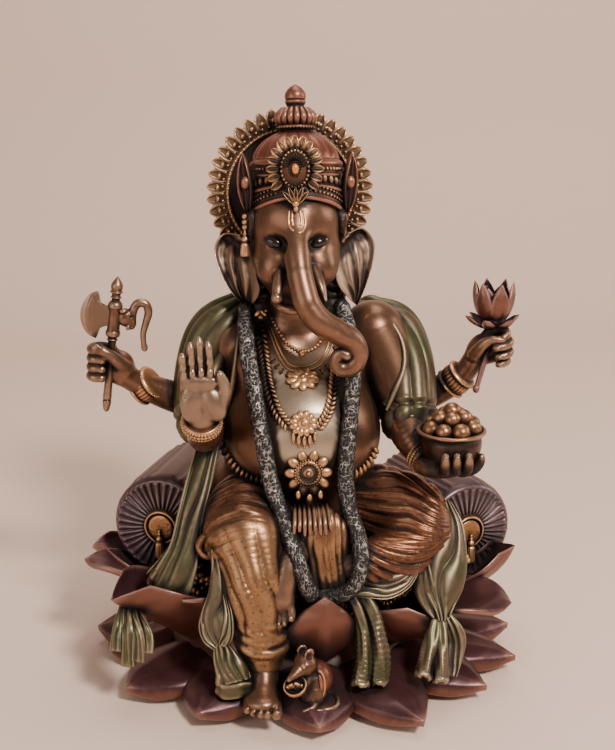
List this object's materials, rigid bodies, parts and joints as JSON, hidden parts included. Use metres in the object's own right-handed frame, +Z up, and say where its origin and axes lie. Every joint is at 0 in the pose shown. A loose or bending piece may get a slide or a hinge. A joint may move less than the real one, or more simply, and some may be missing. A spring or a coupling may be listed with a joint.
{
  "type": "ganesha idol",
  "caption": "Seated elephant-headed deity figure on a lotus base, cast in cold-cast bronze resin, free-standing on a felt pad.",
  "frame": {"origin": "centre of the felt pad's underside, the face the figure stands on", "axes": "+Z up through the crown's finial, -Y the way the figure faces, +X towards the figure's left hand side"},
  "size_m": [0.2039, 0.1791, 0.2595],
  "materials": {
    "skin_bronze": "cold-cast bronze resin, dark patina in the creases, buffed satin highlights",
    "gold_trim": "dry-brushed gold on bronze resin, dark in the recesses",
    "sweet_copper": "copper-coloured bronze resin, satin",
    "petal_bronze": "plum-brown bronze resin, satin, buffed along the rims",
    "dhoti_copper": "copper-brown bronze resin, satin, buffed on the folds",
    "shawl_green": "olive-green lacquer over bronze resin, buffed on the folds",
    "bolster_violet": "grey-violet lacquer over bronze resin, buffed on the pleats",
    "garland_dark": "near-black lacquer, the raised grain buffed to dull silver",
    "crown_red": "reddish copper lacquer over bronze resin, satin",
    "felt_black": "short-pile felt, matt",
    "steel_pin": "plain drawn steel"
  },
  "bodies": {
    "root": {"felt_pad": "felt_black", "neck_dowel": "steel_pin", "lotus_core": "petal_bronze", "seed_pod": "petal_bronze", "axe": "gold_trim", "held_lotus": "petal_bronze", "bowl": "skin_bronze", "sweets": "sweet_copper", "torso": "skin_bronze", "head_with_trunk": "skin_bronze", "crown": "crown_red", "crown_finial": "crown_red", "halo": "gold_trim", "ear_right": "skin_bronze", "ear_left": "skin_bronze", "arm_rear_right": "skin_bronze", "arm_rear_left": "skin_bronze", "arm_front_right": "skin_bronze", "arm_front_left": "skin_bronze", "bangle_rear_right": "gold_trim", "bangle_rear_left": "gold_trim", "bolster_right": "bolster_violet", "bolster_left": "bolster_violet", "leg_right": "dhoti_copper", "leg_left": "dhoti_copper", "apron": "dhoti_copper", "garland_right": "garland_dark", "garland_left": "garland_dark", "belt_clasp": "gold_trim", "necklace": "gold_trim", "shawl_right": "shawl_green", "shawl_left": "shawl_green", "drape_right": "shawl_green", "drape_left": "shawl_green", "drape_front": "shawl_green", "drape_right_end": "shawl_green", "mouse": "gold_trim", "upper_petal_front": "petal_bronze", "upper_petal_right_1": "petal_bronze", "upper_petal_right_2": "petal_bronze", "upper_petal_right_3": "petal_bronze", "upper_petal_right_4": "petal_bronze", "upper_petal_right_5": "petal_bronze", "upper_petal_left_1": "petal_bronze", "upper_petal_left_2": "petal_bronze", "upper_petal_left_3": "petal_bronze", "upper_petal_left_4": "petal_bronze", "upper_petal_left_5": "petal_bronze", "lower_petal_1": "petal_bronze", "lower_petal_2": "petal_bronze", "lower_petal_3": "petal_bronze", "lower_petal_4": "petal_bronze", "lower_petal_5": "petal_bronze", "lower_petal_6": "petal_bronze", "lower_petal_7": "petal_bronze", "lower_petal_8": "petal_bronze", "lower_petal_9": "petal_bronze", "lower_petal_10": "petal_bronze", "lower_petal_11": "petal_bronze", "lower_petal_12": "petal_bronze"}
  },
  "joints": []
}
